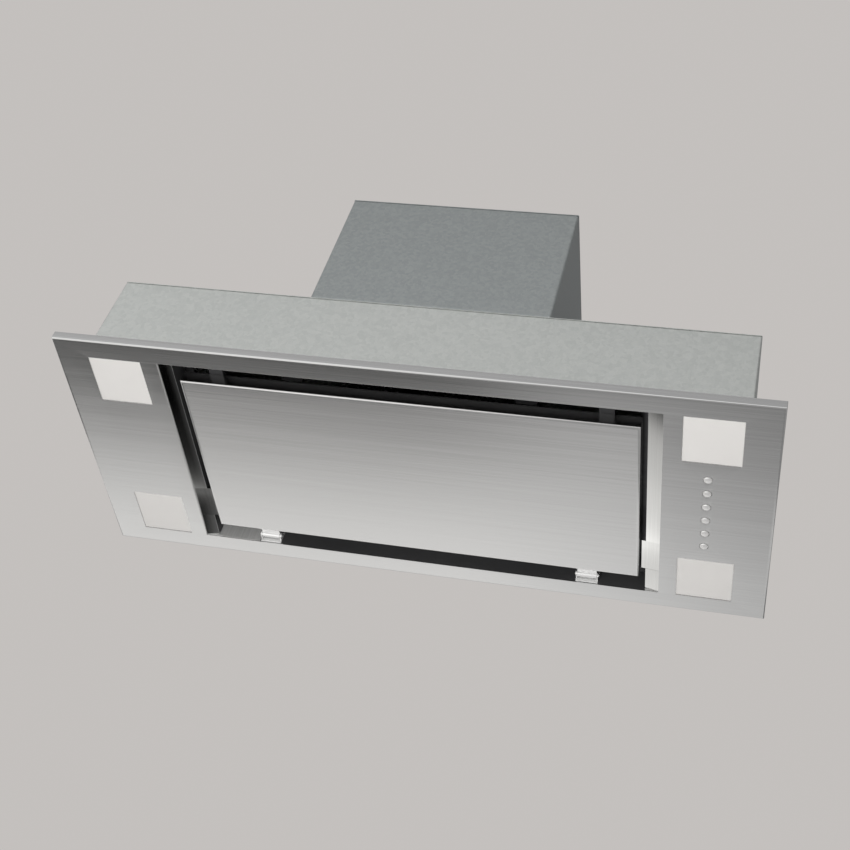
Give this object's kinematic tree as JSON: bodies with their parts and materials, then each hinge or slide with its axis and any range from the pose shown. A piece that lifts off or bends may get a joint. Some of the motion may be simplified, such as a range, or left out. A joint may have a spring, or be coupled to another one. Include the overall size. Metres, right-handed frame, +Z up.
{
  "type": "range hood",
  "caption": "Built-in canopy hood: flat stainless face plate with hinged perimeter suction panel, four lamps, push buttons, metal box, fan housing and round duct outlet.",
  "frame": {"origin": "under the middle of the face plate, level with the faces of the push buttons, the lowest point of the part", "axes": "+X to the right of a cook who faces the hood, towards the buttons; +Y to the wall behind; +Z up along the duct"},
  "size_m": [0.86, 0.36, 0.3965],
  "materials": {
    "stainless": "brushed along the width, satin",
    "galvanised": "hot-dip galvanised, faint spangle",
    "housing_sheet": "blue-grey zinc coated sheet, satin",
    "liner_paint": "black powder coat, satin",
    "filter_aluminium": "rolled aluminium, satin",
    "filter_net": "expanded aluminium net",
    "black_plastic": "moulded, fine grain",
    "casing_plastic": "moulded dark grey plastic",
    "impeller_steel": "galvanised blades",
    "motor_paint": "dark grey lacquer",
    "mount_rubber": "soft black rubber",
    "plain_steel": "bright zinc plated",
    "hinge_steel": "bright stainless",
    "capacitor_can": "off-white plastic can",
    "circuit_board": "green solder mask",
    "lead_sheath": "black cable sheath",
    "lamp_window": "opal diffuser, satin white",
    "button_metal": "polished dome"
  },
  "bodies": {
    "hood": {"face_plate": "stainless", "side_ledge_left": "stainless", "side_ledge_right": "stainless", "rear_corners": "stainless", "chassis_box": "galvanised", "box_top": "galvanised", "bay_wall_left": "galvanised", "bay_wall_right": "galvanised", "inlet_rings": "galvanised", "motor_bracket": "galvanised", "lamp_tray_front_left": "galvanised", "lamp_tray_front_right": "galvanised", "lamp_tray_back_left": "galvanised", "lamp_tray_back_right": "galvanised", "motor_housing": "housing_sheet", "housing_top": "housing_sheet", "throat_liner": "liner_paint", "filter_frame_left": "filter_aluminium", "filter_frame_right": "filter_aluminium", "filter_mesh_left": "filter_net", "filter_mesh_right": "filter_net", "outlet_collar": "black_plastic", "control_box": "black_plastic", "control_lid": "black_plastic", "cable_gland": "black_plastic", "button_guide": "black_plastic", "magnet_catches": "black_plastic", "fan_scroll": "casing_plastic", "fan_motor": "motor_paint", "motor_mounts": "mount_rubber", "damper_pin": "plain_steel", "hinge_pins": "plain_steel", "fasteners": "plain_steel", "hinge_bracket_left": "hinge_steel", "hinge_bracket_right": "hinge_steel", "run_capacitor": "capacitor_can", "control_board": "circuit_board", "led_boards": "circuit_board", "key_board": "circuit_board", "wiring_loom": "lead_sheath", "lamp_window_front_left": "lamp_window", "lamp_window_front_right": "lamp_window", "lamp_window_back_left": "lamp_window", "lamp_window_back_right": "lamp_window"},
    "panel": {"panel_skin": "stainless", "panel_core": "galvanised", "hinge_leaf_left": "hinge_steel", "hinge_leaf_right": "hinge_steel"},
    "rotor": {"impeller": "impeller_steel", "motor_shaft": "plain_steel"},
    "front_flap": {"damper_flap_front": "black_plastic"},
    "back_flap": {"damper_flap_back": "black_plastic"},
    "latch_left": {"filter_latch_left": "black_plastic"},
    "latch_right": {"filter_latch_right": "black_plastic"},
    "button_1": {"button_1": "button_metal"},
    "button_2": {"button_2": "button_metal"},
    "button_3": {"button_3": "button_metal"},
    "button_4": {"button_4": "button_metal"},
    "button_5": {"button_5": "button_metal"},
    "button_6": {"button_6": "button_metal"}
  },
  "joints": [
    {"name": "panel_hinge", "type": "hinge", "parent": "hood", "child": "panel", "pos_m": [0, 0.147, 0.0105], "axis": [1, 0, 0], "range_deg": [0, 85]},
    {"name": "impeller_spin", "type": "hinge", "parent": "hood", "child": "rotor", "pos_m": [0, -0.045, 0.2435], "axis": [1, 0, 0], "continuous": true},
    {"name": "front_flap_hinge", "type": "hinge", "parent": "hood", "child": "front_flap", "pos_m": [0, 0.01125, 0.3685], "axis": [-1, 0, 0], "range_deg": [0, 75]},
    {"name": "back_flap_hinge", "type": "hinge", "parent": "hood", "child": "back_flap", "pos_m": [0, 0.01125, 0.3685], "axis": [1, 0, 0], "range_deg": [0, 75]},
    {"name": "latch_left_slide", "type": "slide", "parent": "hood", "child": "latch_left", "axis": [0, 1, 0], "range_m": [0, 0.008], "stiffness_N_per_m": 300},
    {"name": "latch_right_slide", "type": "slide", "parent": "hood", "child": "latch_right", "axis": [0, 1, 0], "range_m": [0, 0.008], "stiffness_N_per_m": 300},
    {"name": "button_1_press", "type": "slide", "parent": "hood", "child": "button_1", "axis": [0, 0, 1], "range_m": [0, 0.0015], "stiffness_N_per_m": 500},
    {"name": "button_2_press", "type": "slide", "parent": "hood", "child": "button_2", "axis": [0, 0, 1], "range_m": [0, 0.0015], "stiffness_N_per_m": 500},
    {"name": "button_3_press", "type": "slide", "parent": "hood", "child": "button_3", "axis": [0, 0, 1], "range_m": [0, 0.0015], "stiffness_N_per_m": 500},
    {"name": "button_4_press", "type": "slide", "parent": "hood", "child": "button_4", "axis": [0, 0, 1], "range_m": [0, 0.0015], "stiffness_N_per_m": 500},
    {"name": "button_5_press", "type": "slide", "parent": "hood", "child": "button_5", "axis": [0, 0, 1], "range_m": [0, 0.0015], "stiffness_N_per_m": 500},
    {"name": "button_6_press", "type": "slide", "parent": "hood", "child": "button_6", "axis": [0, 0, 1], "range_m": [0, 0.0015], "stiffness_N_per_m": 500}
  ]
}
